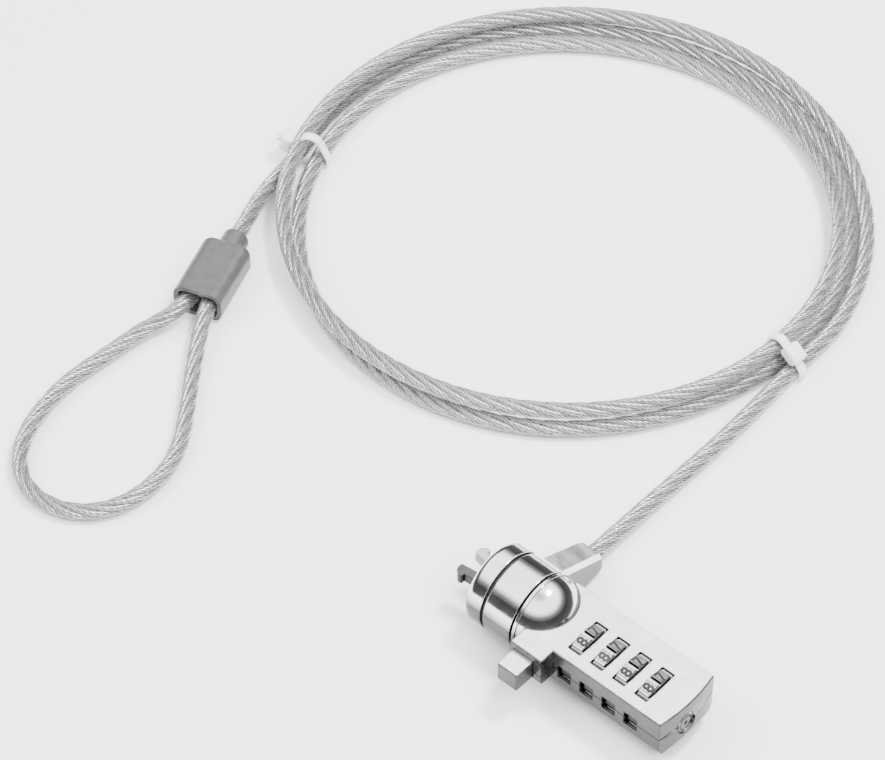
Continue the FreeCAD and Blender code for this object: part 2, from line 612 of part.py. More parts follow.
def code_sleeve(index):
    """Inner sleeve of a wheel, with a chamber for the spindle's fin and the gate that it passes."""
    x = wheel_x(index)
    front = x - SLEEVE_LENGTH / 2
    back = x + SLEEVE_LENGTH / 2
    sleeve = rod_x(SLEEVE_R, front, back, SPINDLE_Y, SPINDLE_Z)
    sleeve = sleeve.cut(rod_x(SPINDLE_R + RUN_FIT, front - 1, back + 1, SPINDLE_Y, SPINDLE_Z))
    sleeve = sleeve.cut(rod_x(CHAMBER_R, front + SLEEVE_WALL, back + 1, SPINDLE_Y, SPINDLE_Z))
    gate = box(front - 1, front + SLEEVE_WALL + 1,
               SPINDLE_Y - FIN_WIDTH / 2 - 0.1, SPINDLE_Y + FIN_WIDTH / 2 + 0.1,
               SPINDLE_Z, SPINDLE_Z + CHAMBER_R)
    return sleeve.cut(gate)


def spindle():
    """Shaft through the sleeves with one fin in each chamber."""
    shaft = rod_x(SPINDLE_R, SPINDLE_FRONT, SPINDLE_BACK - BODY_GAP, SPINDLE_Y, SPINDLE_Z)
    for index in range(WHEEL_COUNT):
        start = wheel_x(index) - SLEEVE_LENGTH / 2 + SLEEVE_WALL + SPINDLE_PLAY
        fin = box(start, start + FIN_LENGTH, SPINDLE_Y - FIN_WIDTH / 2, SPINDLE_Y + FIN_WIDTH / 2,
                  SPINDLE_Z, SPINDLE_Z + SPINDLE_R + FIN_HEIGHT)
        shaft = shaft.fuse(fin)
    return shaft.removeSplitter()


def spindle_spring():
    """Spring between the spindle and the reset plug."""
    place = V(BACK_X + SPINDLE_BACK, AXIS_Y + SPINDLE_Y, SPINDLE_Z)
    length = PLUG_BACK - SEAT_GAP - SPINDLE_BACK
    return coil_spring(SPINDLE_SPRING_R, length, SPINDLE_SPRING_TURNS, place, V(1, 0, 0))


def reset_plug():
    """Round plug in the end face, with a dimple to turn it by."""
    back = PLUG_BACK + SEAT_GAP
    face = CASE_END + UPPER_BULGE + PLUG_PROUD
    plug = rod_x(PLUG_R, back, face, SPINDLE_Y, SPINDLE_Z)
    rim = [e for e in plug.Edges if abs(e.CenterOfMass.x - BACK_X - face) < 0.01]
    plug = plug.makeChamfer(0.25, rim)
    inner = PLUG_R * PLUG_RING_INNER
    outer = PLUG_R * PLUG_RING_OUTER
    ring = turned([(face - 0.25, inner), (face + 1, inner), (face + 1, outer), (face - 0.25, outer)],
                  SPINDLE_Y, SPINDLE_Z)
    dimple = rod_x(PLUG_DIMPLE_R, face - PLUG_DIMPLE_DEPTH, face + 1, SPINDLE_Y, SPINDLE_Z)
    return plug.cut(ring).cut(dimple)


def detent_spring():
    """Leaf with one finger for each wheel."""
    outer = CASE_HALF - FAR_WALL - 0.1
    inner = outer - DETENT_THICK
    tip = SPINDLE_Y + PAD_CORNER_R + FINGER_GAP
    leaf = box(FIRST_WHEEL - CHAMBER_HALF + BODY_GAP, LAST_WHEEL + CHAMBER_HALF - BODY_GAP, inner, outer,
               SPINDLE_Z - DETENT_HEIGHT / 2, SPINDLE_Z + DETENT_HEIGHT / 2)
    for index in range(WHEEL_COUNT):
        x = wheel_x(index)
        finger = box(x - 0.9, x + 0.9, tip, inner + 0.1, SPINDLE_Z - FINGER_HEIGHT / 2,
                     SPINDLE_Z + FINGER_HEIGHT / 2)
        leaf = leaf.fuse(finger)
    return leaf.removeSplitter()


# ---------------------------------------------------------------- button, slider and hooks
def release_button():
    """Square push button with its stop flange."""
    half = BUTTON_HEIGHT / 2
    block = box(BUTTON_FRONT, BUTTON_FRONT + BUTTON_WIDTH, BUTTON_TIP, BUTTON_INNER,
                AXIS_Z - half, AXIS_Z + half)
    tip_edges = [e for e in block.Edges if e.BoundBox.YMax < AXIS_Y + BUTTON_TIP + 0.01]
    block = block.makeChamfer(BUTTON_BEVEL, tip_edges)
    start = -CASE_HALF - EAR_DEPTH + EAR_WALL + SEAT_GAP
    flange = box(BUTTON_FRONT - FLANGE_RIM, BUTTON_FRONT + BUTTON_WIDTH + FLANGE_RIM,
                 start, start + FLANGE_THICK,
                 AXIS_Z - half - FLANGE_RIM, AXIS_Z + half + FLANGE_RIM)
    return joined(block, flange)


def hook_slider():
    """Flat bar from the button into the spigot, with the post that works the hooks' tails."""
    high = SLIDER_LOW + SLIDER_THICK
    right = -0.1
    left = right - SLIDER_WIDTH
    stem = box(STEM_FRONT, STEM_FRONT + STEM_WIDTH, BUTTON_INNER + SEAT_GAP, right, SLIDER_LOW, high)
    bar = box(TONGUE_FRONT, STEM_FRONT + STEM_WIDTH, left, right, SLIDER_LOW, high)
    post = rod_z(DRIVE_POST_R, SLIDER_LOW, AXIS_Z + HOOK_THICK / 2, TONGUE_FRONT + 0.8, (left + right) / 2)
    return joined(stem, bar, post)


def button_spring():
    """Spring that returns the button."""
    place = V(BACK_X + BUTTON_SPRING_X, AXIS_Y + BUTTON_INNER + SEAT_GAP, AXIS_Z)
    length = BUTTON_SPRING_END - BUTTON_INNER - SEAT_GAP
    return coil_spring(BUTTON_SPRING_R, length, BUTTON_SPRING_TURNS, place, V(0, 1, 0))


def hook(side):
    """One hooked prong, drawn straight along the nose and then turned outwards to its spread."""
    w = HOOK_HALF_WIDTH
    end = -HOOK_LENGTH
    outline = [(1.3, w), (0.6, w + 0.4), (-1.0, w), (end + 2.2, w), (end + 2.4, HOOK_BARB - 0.4),
               (end + 2.0, HOOK_BARB), (end + 1.2, HOOK_BARB), (end + 0.3, w), (end, w - HOOK_TIP_CORNER),
               (end, -w + HOOK_TIP_CORNER), (end + 0.4, -w), (1.3, -w)]
    corners = [V(x, side * y, 0) for x, y in outline]
    arm = Part.Face(Part.makePolygon(corners + corners[:1])).extrude(V(0, 0, HOOK_THICK))
    arm = arm.fuse(Part.makeCylinder(HOOK_BOSS_R, HOOK_THICK, V(0, side * 0.25, 0)))
    arm = arm.cut(Part.makeCylinder(HOOK_PIN_R + RUN_FIT, HOOK_THICK + 2, V(0, 0, -1)))
    arm = arm.removeSplitter()
    arm.rotate(V(0, 0, 0), V(0, 0, 1), -side * HOOK_SPREAD)
    arm.translate(V(BACK_X - HOOK_PIVOT, AXIS_Y + side * HOOK_PIVOT_Y, AXIS_Z - HOOK_THICK / 2))
    return arm


def hook_pins():
    """Two pins that the hooks turn on."""
    pins = [rod_z(HOOK_PIN_R, AXIS_Z - HOOK_PIN_LENGTH / 2, AXIS_Z + HOOK_PIN_LENGTH / 2, -HOOK_PIVOT,
                  side * HOOK_PIVOT_Y) for side in (-1, 1)]
    return Part.makeCompound(pins)


# ---------------------------------------------------------------- cable side
def ferrule_place():
    """Placement of the ferrule: its mouth at the origin, its body along -X, on the table."""
    centre = V(FERRULE_MOUTH.x, FERRULE_MOUTH.y, FERRULE_HEIGHT / 2)
    return FreeCAD.Placement(centre, FreeCAD.Rotation(V(0, 0, 1), FERRULE_ANGLE))


def slab(length, width, height, corner):
    """Rounded block from the ferrule's mouth backwards."""
    block = Part.makeBox(length, width, height, V(-length, -width / 2, -height / 2))
    long_edges = [e for e in block.Edges if abs(e.Length - length) < 0.01]
    return block.makeFillet(corner, long_edges)


def ferrule_cover():
    """Plastic cover with a neck for the cable and an open mouth for the loop's two legs."""
    body = slab(FERRULE_LENGTH, FERRULE_WIDTH, FERRULE_HEIGHT, FERRULE_CORNER)
    shoulder = [e for e in body.Edges if e.BoundBox.XMax < -FERRULE_LENGTH + 0.01]
    body = body.makeFillet(1.8, shoulder)
    neck = Part.makeCylinder(NECK_R, FERRULE_NECK + 2, V(-FERRULE_LENGTH - FERRULE_NECK, 0, 0), V(1, 0, 0))
    top = [e for e in neck.Edges if e.CenterOfMass.x < -FERRULE_LENGTH - FERRULE_NECK + 0.01]
    neck = neck.makeFillet(0.9, top)
    cover = joined(body, neck)
    inner_length = FERRULE_LENGTH - FERRULE_WALL
    cover = cover.cut(slab(inner_length, FERRULE_WIDTH - 2 * FERRULE_WALL, FERRULE_HEIGHT - 2 * FERRULE_WALL,
                           FERRULE_CORNER - FERRULE_WALL))
    cover = cover.cut(Part.makeCylinder(CABLE_R + 0.1, FERRULE_NECK + FERRULE_WALL + 2,
                                        V(-FERRULE_LENGTH - FERRULE_NECK - 1, 0, 0), V(1, 0, 0)))
    cover.Placement = ferrule_place()
    return cover


def crimp_sleeve():
    """Pressed metal sleeve round both legs of the loop."""
    width = 2 * LEG_HALF_GAP + CABLE_D + 2 * CRIMP_WALL
    height = CABLE_D + 2 * CRIMP_WALL - 0.4
    sleeve = slab(CRIMP_LENGTH, width - 0.6, height - 0.4, FERRULE_CORNER - 1.0)
    sleeve.translate(V(-CRIMP_SETBACK, 0, 0))
    for side in (-1, 1):
        sleeve = sleeve.cut(Part.makeCylinder(CABLE_R, CRIMP_LENGTH + 2,
                                              V(-CRIMP_SETBACK - CRIMP_LENGTH - 1, side * LEG_HALF_GAP, 0), V(1, 0, 0)))
    sleeve.Placement = ferrule_place()
    return sleeve


def cable_coil():
    """Outer shape of the coil's turns."""
    outer = Part.makeCylinder(COIL_R + COIL_OUT, COIL_HEIGHT, COIL_CENTRE)
    way = math.radians(COIL_OFFSET_ANGLE)
    middle = V(COIL_CENTRE.x + COIL_OFFSET * math.cos(way), COIL_CENTRE.y + COIL_OFFSET * math.sin(way), -1)
    inner = Part.makeCylinder(COIL_R - COIL_IN + COIL_OFFSET, COIL_HEIGHT + 2, middle)
    ring = outer.cut(inner)
    return ring.makeFillet(COIL_CORNER, [e for e in ring.Edges if e.BoundBox.ZLength < 0.01])


def coil_tie(angle, held):
    """Nylon tie round the coil at an angle, hugging what it holds, with its head outside."""
    turn = FreeCAD.Rotation(V(0, 0, 1), angle)
    inner_x = COIL_R - COIL_IN - 1
    outer_x = COIL_R + COIL_OUT + TIE_GAP + TIE_THICK
    band = Part.makeBox(outer_x - inner_x, TIE_WIDTH, COIL_HEIGHT + TIE_THICK + TIE_GAP,
                        V(inner_x, -TIE_WIDTH / 2, 0))
    rims = [e for e in band.Edges if abs(e.Length - TIE_WIDTH) < 0.01 and e.BoundBox.ZMin > 1]
    band = band.makeFillet(COIL_CORNER, rims)
    head = Part.makeBox(TIE_HEAD * 0.7, TIE_HEAD, TIE_HEAD * 0.8,
                        V(outer_x - 0.3, -TIE_HEAD / 2, COIL_HEIGHT * 0.4))
    head = head.makeFillet(0.8, head.Edges)
    tie = joined(band, head)
    tie.Placement = FreeCAD.Placement(COIL_CENTRE, turn)
    for piece in held:
        tie = tie.cut(piece)
    return main_solid(tie)


def lead_points():
    """Points of the cable from the lug's stop to the coil."""
    x = BACK_X + LUG_X
    stop_end = AXIS_Y + LUG_REACH - SOCKET_DEPTH + STOP_LENGTH
    return [V(x, stop_end + SEAT_GAP, SOCKET_Z), V(x, AXIS_Y + LUG_REACH + 4, SOCKET_Z),
            V(-17.9, 49, CABLE_R), V(-17.7, 76, CABLE_R), V(-19.6, 104, CABLE_R)]


def tail_points():
    """Points of the cable from the coil to the crimp sleeve."""
    place = ferrule_place()
    inside = place.multVec(V(-CRIMP_SETBACK - CRIMP_LENGTH - 0.1, -LEG_HALF_GAP, 0))
    bend = place.multVec(V(-FERRULE_LENGTH + 0.2, -0.9, 0))
    neck = place.multVec(V(-FERRULE_LENGTH - FERRULE_NECK - 1, 0, 0))
    return [V(-163.6, 74.5, CABLE_R), V(-160.4, 58, CABLE_R + 0.8), neck, bend, inside]


def loop_points():
    """Points of the cable's teardrop loop, from the crimp sleeve and back into it."""
    place = ferrule_place()
    start = place.multVec(V(-CRIMP_SETBACK + 0.1, -LEG_HALF_GAP, 0))
    out = place.multVec(V(LEG_BEND, -LEG_HALF_GAP - LEG_SPLAY, 0))
    back = place.multVec(V(LEG_BEND, LEG_HALF_GAP + LEG_SPLAY, 0))
    end = place.multVec(V(-CRIMP_SETBACK + 0.1, LEG_HALF_GAP, 0))
    return [start, out, V(-149.6, 4.0, CABLE_R + 0.4), V(-150.6, -9, CABLE_R), V(-151.6, -21.5, CABLE_R),
            V(-148.6, -36.8, CABLE_R), V(-142.2, -47.5, CABLE_R), V(-132.6, -53.0, CABLE_R),
            V(-121.8, -51.6, CABLE_R), V(-114.0, -44.2, CABLE_R), V(-111.3, -33.4, CABLE_R),
            V(-113.6, -20.4, CABLE_R), V(-122.5, -8.0, CABLE_R), V(-131.3, 3.0, CABLE_R + 0.4), back, end]


# ---------------------------------------------------------------- build
def main():
    """Build every piece and write it to its own file."""
    os.makedirs("parts", exist_ok=True)
    hollow = shell_hollow()
    coil = cable_coil()
    lead = cord_tube("cable_lead", lead_points())
    tail = cord_tube("cable_tail", tail_points())
    pieces = {
        "upper_shell": upper_shell(hollow), "lower_shell": lower_shell(hollow),
        "shell_screws": shell_screws(),
        "dome": dome(), "spigot": spigot(), "nose_ring": nose_ring(), "groove_ring": groove_ring(),
        "collar_washer": collar_washer(), "swivel_collar": swivel_collar(), "cable_stop": cable_stop(),
        "lug_pin": lug_pin(), "release_button": release_button(), "hook_slider": hook_slider(),
        "button_spring": button_spring(), "hook_near": hook(-1), "hook_far": hook(1),
        "hook_pins": hook_pins(),
        "spindle": spindle(), "spindle_spring": spindle_spring(), "reset_plug": reset_plug(),
        "detent_spring": detent_spring(), "ferrule_cover": ferrule_cover(), "crimp_sleeve": crimp_sleeve(),
        "cable_coil": coil, "cable_lead": lead, "cable_tail": tail,
        "cable_loop": cord_tube("cable_loop", loop_points()),
        "tie_lower": coil_tie(TIE_LOWER_ANGLE, (coil, lead)),
        "tie_upper": coil_tie(TIE_UPPER_ANGLE, (coil, tail)),
    }
    for index in range(WHEEL_COUNT):
        pieces["number_wheel_%d" % (index + 1)] = number_wheel(index)
        pieces["code_sleeve_%d" % (index + 1)] = code_sleeve(index)
    for name, shape in pieces.items():
        solids = len(shape.Solids)
        print(name, "valid" if shape.isValid() else "NOT VALID", solids, "%.1f mm3" % shape.Volume)
        shape.exportStep("parts/%s.step" % name)
    free = ("cable_", "tie_", "ferrule", "crimp")
    head = Part.makeCompound([s for n, s in pieces.items() if not n.startswith(free)])
    print("head box", head.optimalBoundingBox(False))


main()
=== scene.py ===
"""Laptop cable lock: finishes, steel rope cable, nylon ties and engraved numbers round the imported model."""

import json
import logging
import math
from dataclasses import dataclass, field
from enum import Enum
from typing import Any, Iterable, Sequence

import bmesh
import bpy
from mathutils import Matrix, Vector

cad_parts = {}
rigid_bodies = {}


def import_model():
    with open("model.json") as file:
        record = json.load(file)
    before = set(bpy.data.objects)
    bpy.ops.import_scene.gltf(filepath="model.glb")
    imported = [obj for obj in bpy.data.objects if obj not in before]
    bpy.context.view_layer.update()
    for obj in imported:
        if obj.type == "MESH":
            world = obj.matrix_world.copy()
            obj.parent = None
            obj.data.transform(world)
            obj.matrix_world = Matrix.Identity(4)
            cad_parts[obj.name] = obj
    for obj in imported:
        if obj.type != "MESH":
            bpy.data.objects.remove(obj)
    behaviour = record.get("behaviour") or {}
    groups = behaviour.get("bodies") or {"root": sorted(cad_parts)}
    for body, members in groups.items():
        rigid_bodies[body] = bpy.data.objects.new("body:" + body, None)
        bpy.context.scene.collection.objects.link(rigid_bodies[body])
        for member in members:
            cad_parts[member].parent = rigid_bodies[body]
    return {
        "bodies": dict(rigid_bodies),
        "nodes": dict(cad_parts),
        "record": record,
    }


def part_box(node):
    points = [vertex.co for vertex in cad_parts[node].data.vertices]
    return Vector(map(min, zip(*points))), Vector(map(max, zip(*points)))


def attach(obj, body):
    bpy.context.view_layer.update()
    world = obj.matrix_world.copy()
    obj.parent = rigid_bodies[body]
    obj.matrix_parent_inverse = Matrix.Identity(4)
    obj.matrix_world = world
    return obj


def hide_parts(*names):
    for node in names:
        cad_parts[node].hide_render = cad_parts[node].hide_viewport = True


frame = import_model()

LOG = logging.getLogger("cable_lock")
MM = 0.001
Colour = tuple[float, float, float]


class Slot(Enum):
    """Material slots of the record."""

    POLISHED = "chrome_polished"
    SATIN = "chrome_satin"
    GROUND = "steel_ground"
    DARK = "steel_dark"
    SPRING = "spring_steel"
    GROOVE = "groove_black"
    WASHER = "washer_plastic"
    BRASS = "sleeve_brass"
    WHEEL = "zinc_wheel"
    FERRULE = "ferrule_grey"
    CRIMP = "crimp_aluminium"
    CABLE = "cable_sheathed"
    TIE = "tie_nylon"


class Body(Enum):
    """Bodies that pieces ride on."""

    CABLE = "cable_side"


class Graph:
    """Makes the nodes of one tree."""

    def __init__(self, tree: bpy.types.NodeTree) -> None:
        """Keep the tree.

        Args:
            tree: node tree of a material, a world or a geometry modifier.
        """
        self.tree = tree

    def node(self, kind: str, inputs: dict[Any, Any] | None = None, **settings: Any) -> bpy.types.Node:
        """Add a node, with its inputs linked or set.

        Args:
            kind: node type's name.
            inputs: socket name or number to an output socket to link, or to a value.
            settings: the node's own properties.

        Returns:
            The new node.
        """
        made = self.tree.nodes.new(kind)
        for name, value in settings.items():
            setattr(made, name, value)
        for key, value in (inputs or {}).items():
            if isinstance(value, bpy.types.NodeSocket):
                self.tree.links.new(value, made.inputs[key])
            else:
                made.inputs[key].default_value = value
        return made

    def math(self, operation: str, *values: Any) -> bpy.types.NodeSocket:
        """Add a Math node, named by its operation, and return its result."""
        node = self.node("ShaderNodeMath", dict(enumerate(values)), operation=operation)
        return node.outputs[0]

    def scaled(self, vector: Any, factor: Any) -> bpy.types.NodeSocket:
        """Add a Vector Math node that scales a vector, and return its result."""
        node = self.node("ShaderNodeVectorMath", {0: vector, "Scale": factor}, operation="SCALE")
        return node.outputs[0]

    def ranged(self, value: Any, low: float, high: float, to_low: float,
               to_high: float) -> bpy.types.NodeSocket:
        """Add a Map Range node with clamping, and return its result."""
        node = self.node("ShaderNodeMapRange", {0: value, 1: low, 2: high, 3: to_low, 4: to_high})
        return node.outputs[0]

    def blend(self, factor: Any, first: Colour, second: Colour) -> bpy.types.NodeSocket:
        """Add a colour mix of two colours, and return its result."""
        node = self.node("ShaderNodeMix", {"Factor": factor}, data_type="RGBA")
        node.inputs[6].default_value = (*first, 1)
        node.inputs[7].default_value = (*second, 1)
        return node.outputs[2]

    def noise(self, vector: Any, scale: float, detail: float = 3.0) -> bpy.types.NodeSocket:
        """Add a Noise Texture, and return its value."""
        node = self.node("ShaderNodeTexNoise", {"Vector": vector, "Scale": scale, "Detail": detail})
        return node.outputs[0]


def new_material(name: str) -> tuple[bpy.types.Material, Graph, bpy.types.Node]:
    """Make an empty node material with its surface shader.

    Args:
        name: material's name.

    Returns:
        The material, its graph and its Principled shader.
    """
    material = bpy.data.materials.new(name)
    material.use_nodes = True
    material.node_tree.nodes.clear()
    graph = Graph(material.node_tree)
    shader = graph.node("ShaderNodeBsdfPrincipled")
    graph.node("ShaderNodeOutputMaterial", {"Surface": shader.outputs[0]})
    return material, graph, shader


@dataclass(frozen=True)
class MetalFinish:
    """Bare or plated metal, with its cloudiness, its polishing marks, painted shade on its flanks and painted
    shade along its rounded edges.
    """

    name: str
    colour: Colour
    # painted shade: the colour of faces turned away from straight up
    flank_colour: Colour
    roughness: tuple[float, float]
    cloud_scale: float = 260.0
    grain: tuple[float, float, float] = (1.0, 1.0, 1.0)
    grain_scale: float = 900.0
    grain_depth: float = 0.02
    # span of the normal's upward part over which the painted flank shade gives way to the top colour
    level: tuple[float, float] = (0.25, 0.8)
    # painted shade along rounded edges: how wide it reaches and how dark it gets
    edge_width: float = 0.3 * MM
    edge_shade: float = 0.3

    def build(self) -> bpy.types.Material:
        """Make the material.

        Returns:
            Metal whose level faces take the first colour and whose flanks take the second, a painted shade, with
            painted shade along its rounded edges.
        """
        material, graph, shader = new_material(self.name)
        place = graph.node("ShaderNodeTexCoord").outputs["Object"]
        cloud = graph.noise(place, self.cloud_scale)
        lay = graph.node("ShaderNodeMapping", {"Vector": place, "Scale": self.grain})
        grain = graph.noise(lay.outputs[0], self.grain_scale, 4.0)
        normal = graph.node("ShaderNodeNewGeometry").outputs["Normal"]
        # Painted shade: the base colour runs from the darker flank colour on faces turned sideways or down to the
        # top colour on faces turned up.
        upward = graph.node("ShaderNodeSeparateXYZ", {0: normal}).outputs[2]
        level = graph.ranged(upward, *self.level, 0.0, 1.0)
        both = graph.blend(level, self.flank_colour, self.colour)
        # Painted shade: the base colour darkens along rounded edges, where the bevelled normal leaves the true
        # one.
        rounded = graph.node("ShaderNodeBevel", {"Radius": self.edge_width}, samples=6).outputs[0]
        flatness = graph.node("ShaderNodeVectorMath", {0: rounded, 1: normal},
                              operation="DOT_PRODUCT").outputs[1]
        edge = graph.ranged(flatness, 0.86, 0.99, self.edge_shade, 1.0)
        # the painted edge shade times a random cloudiness of tone
        shade = graph.math("MULTIPLY", edge, graph.ranged(cloud, 0.3, 0.7, 0.9, 1.06))
        tone = graph.node("ShaderNodeVectorMath", {0: both, "Scale": shade}, operation="SCALE")
        rough = graph.ranged(graph.math("ADD", cloud, grain), 0.7, 1.3, *self.roughness)
        bump = graph.node("ShaderNodeBump",
                          {"Height": grain, "Strength": self.grain_depth, "Distance": 0.0003})
        graph.tree.links.new(tone.outputs[0], shader.inputs["Base Color"])
        graph.tree.links.new(rough, shader.inputs["Roughness"])
        graph.tree.links.new(bump.outputs[0], shader.inputs["Normal"])
        shader.inputs["Metallic"].default_value = 1.0
        return material


@dataclass(frozen=True)
class MouldedFinish:
    """Plastic or paint with a fine grain."""

    name: str
    colour: Colour
    worn_colour: Colour
    roughness: tuple[float, float]
    grain_scale: float = 2200.0
    grain_depth: float = 0.1
    glow: float = 0.0
    sheen: float = 0.0

    def build(self) -> bpy.types.Material:
        """Make the material.

        Returns:
            Plastic with slight clouds of colour, a grain, and light inside where it has a glow.
        """
        material, graph, shader = new_material(self.name)
        place = graph.node("ShaderNodeTexCoord").outputs["Object"]
        cloud = graph.noise(place, 350.0)
        grain = graph.noise(place, self.grain_scale, 2.0)
        tone = graph.blend(graph.ranged(cloud, 0.35, 0.65, 0.0, 1.0), self.colour, self.worn_colour)
        bump = graph.node("ShaderNodeBump",
                          {"Height": grain, "Strength": self.grain_depth, "Distance": 0.0002})
        graph.tree.links.new(tone, shader.inputs["Base Color"])
        graph.tree.links.new(graph.ranged(grain, 0.3, 0.7, *self.roughness), shader.inputs["Roughness"])
        graph.tree.links.new(bump.outputs[0], shader.inputs["Normal"])
        shader.inputs["Subsurface Weight"].default_value = self.glow
        shader.inputs["Subsurface Radius"].default_value = (0.002, 0.002, 0.0018)
        shader.inputs["Sheen Weight"].default_value = self.sheen
        return material


@dataclass(frozen=True)
class WireFinish:
    """Drawn wires of one strand, laid along the strand's own surface, with painted shade in the grooves between
    them.
    """

    name: str
    # painted shade: the colour in the grooves between wires
    colour: Colour
    gap_colour: Colour
    wires: int = 6
    wire_lay: float = 9.0 * MM

    def build(self) -> bpy.types.Material:
        """Make the material.

        Returns:
            Metal with one ridge for each wire, read from the strand's own attributes, and painted shade in the
            grooves between ridges.
        """
        material, graph, shader = new_material(self.name)
        around = graph.node("ShaderNodeAttribute", attribute_name="around").outputs["Vector"]
        along = graph.node("ShaderNodeAttribute", attribute_name="along").outputs["Fac"]
        parts = graph.node("ShaderNodeSeparateXYZ", {0: around})
        angle = graph.math("ARCTAN2", parts.outputs[1], parts.outputs[0])
        turn = graph.math("MULTIPLY", along, 2 * math.pi / self.wire_lay)
        phase = graph.math("MULTIPLY", graph.math("SUBTRACT", angle, turn), self.wires / 2)
        ridge = graph.math("ABSOLUTE", graph.math("SINE", phase))
        place = graph.node("ShaderNodeTexCoord").outputs["Object"]
        fleck = graph.noise(place, 1500.0)
        # Painted shade: the base colour darkens to the groove colour between the wires' ridges, flecked at
        # random.
        flecked = graph.math("MULTIPLY", ridge, graph.math("ADD", fleck, 0.5))
        tone = graph.blend(graph.ranged(flecked, 0.1, 0.75, 0.0, 1.0), self.gap_colour, self.colour)
        bump = graph.node("ShaderNodeBump", {"Height": ridge, "Strength": 0.7, "Distance": 0.00012})
        graph.tree.links.new(tone, shader.inputs["Base Color"])
        graph.tree.links.new(bump.outputs[0], shader.inputs["Normal"])
        graph.tree.links.new(graph.ranged(fleck, 0.3, 0.7, 0.22, 0.42), shader.inputs["Roughness"])
        shader.inputs["Metallic"].default_value = 1.0
        return material


@dataclass(frozen=True)
class SheathFinish:
    """Clear soft plastic over the rope."""

    name: str
    colour: Colour

    def build(self) -> bpy.types.Material:
        """Make the material.

        Returns:
            Clear plastic that shows at its edges and in its gloss.
        """
        material, graph, shader = new_material(self.name)
        place = graph.node("ShaderNodeTexCoord").outputs["Object"]
        haze = graph.noise(place, 500.0)
        edge = graph.node("ShaderNodeLayerWeight", {"Blend": 0.25}).outputs["Facing"]
        seen = graph.math("ADD", graph.ranged(edge, 0.2, 1.0, 0.05, 0.24),
                          graph.ranged(haze, 0.4, 0.7, 0.0, 0.06))
        shader.inputs["Base Color"].default_value = (*self.colour, 1)
        shader.inputs["Specular IOR Level"].default_value = 0.7
        graph.tree.links.new(graph.ranged(haze, 0.3, 0.7, 0.16, 0.3), shader.inputs["Roughness"])
        clear = graph.node("ShaderNodeBsdfTransparent")
        gloss = graph.node("ShaderNodeMixShader", {0: seen, 1: clear.outputs[0], 2: shader.outputs[0]})
        graph.tree.links.new(gloss.outputs[0], graph.tree.nodes["Material Output"].inputs[0])
        return material


def finish_table() -> dict[Slot, bpy.types.Material]:
    """Make the finish of each material slot.

    Returns:
        One material for each slot.
    """
    # Each metal gives its top colour, then its flank colour, which is painted shade.
    polished = MetalFinish("polished_chrome", (0.88, 0.88, 0.89), (0.09, 0.09, 0.092), (0.06, 0.14),
                           grain_scale=500.0, grain_depth=0.004, level=(0.15, 0.42), edge_shade=0.3)
    satin = MetalFinish("satin_chrome", (0.96, 0.96, 0.965), (0.085, 0.085, 0.087), (0.2, 0.3),
                        grain=(1.0, 3.0, 1.0), grain_depth=0.012, edge_width=0.5 * MM, edge_shade=0.05)
    finishes = {
        Slot.POLISHED: polished,
        Slot.SATIN: satin,
        Slot.GROUND: MetalFinish("ground_steel", (0.55, 0.55, 0.56), (0.2, 0.2, 0.205), (0.2, 0.35),
                                 grain=(1, 8, 8)),
        Slot.DARK: MetalFinish("hardened_hook", (0.12, 0.115, 0.11), (0.04, 0.038, 0.036), (0.25, 0.5),
                               grain=(1, 3, 3), grain_scale=1600.0, grain_depth=0.3),
        Slot.SPRING: MetalFinish("spring_wire", (0.6, 0.6, 0.62), (0.5, 0.5, 0.52), (0.2, 0.3),
                                 edge_shade=1.0),
        Slot.GROOVE: MouldedFinish("black_groove", (0.008, 0.008, 0.008), (0.02, 0.02, 0.02), (0.35, 0.6)),
        Slot.WASHER: MouldedFinish("washer", (0.02, 0.02, 0.02), (0.04, 0.04, 0.04), (0.4, 0.6)),
        Slot.BRASS: MetalFinish("brass_sleeve", (0.75, 0.6, 0.32), (0.66, 0.5, 0.25), (0.2, 0.35)),
        Slot.WHEEL: MetalFinish("wheel_pads", (0.93, 0.93, 0.93), (0.05, 0.05, 0.05), (0.3, 0.42),
                                grain_scale=1400.0, grain_depth=0.03, level=(0.6, 0.94),
                                edge_width=0.16 * MM),
        Slot.FERRULE: MouldedFinish("grey_cover", (0.055, 0.055, 0.057), (0.07, 0.07, 0.072), (0.3, 0.45),
                                    sheen=0.1),
        Slot.CRIMP: MetalFinish("pressed_aluminium", (0.8, 0.8, 0.81), (0.7, 0.7, 0.71), (0.3, 0.45)),
        # wire colour, then the painted shade in the grooves between wires
        Slot.CABLE: WireFinish("steel_wires", (0.5, 0.5, 0.51), (0.012, 0.012, 0.012)),
        Slot.TIE: MouldedFinish("milky_nylon", (0.84, 0.84, 0.8), (0.76, 0.76, 0.72), (0.28, 0.42),
                                grain_scale=700.0, glow=0.35),
    }
    return {slot: finish.build() for slot, finish in finishes.items()}


def mesh_object(name: str, mesh: bpy.types.Mesh, material: bpy.types.Material) -> bpy.types.Object:
    """Link a mesh as an object at the origin.

    Args:
        name: piece's name.
        mesh: its mesh, in place.
        material: its finish.

    Returns:
        The new object.
    """
    made = bpy.data.objects.new(name, mesh)
    made.data.materials.clear()
    made.data.materials.append(material)
    bpy.context.scene.collection.objects.link(made)
    return made


def evaluated_mesh(source: bpy.types.Object) -> bpy.types.Mesh:
    """Give the plain mesh of an object with its modifiers."""
    graph = bpy.context.evaluated_depsgraph_get()
    return bpy.data.meshes.new_from_object(source.evaluated_get(graph), depsgraph=graph)


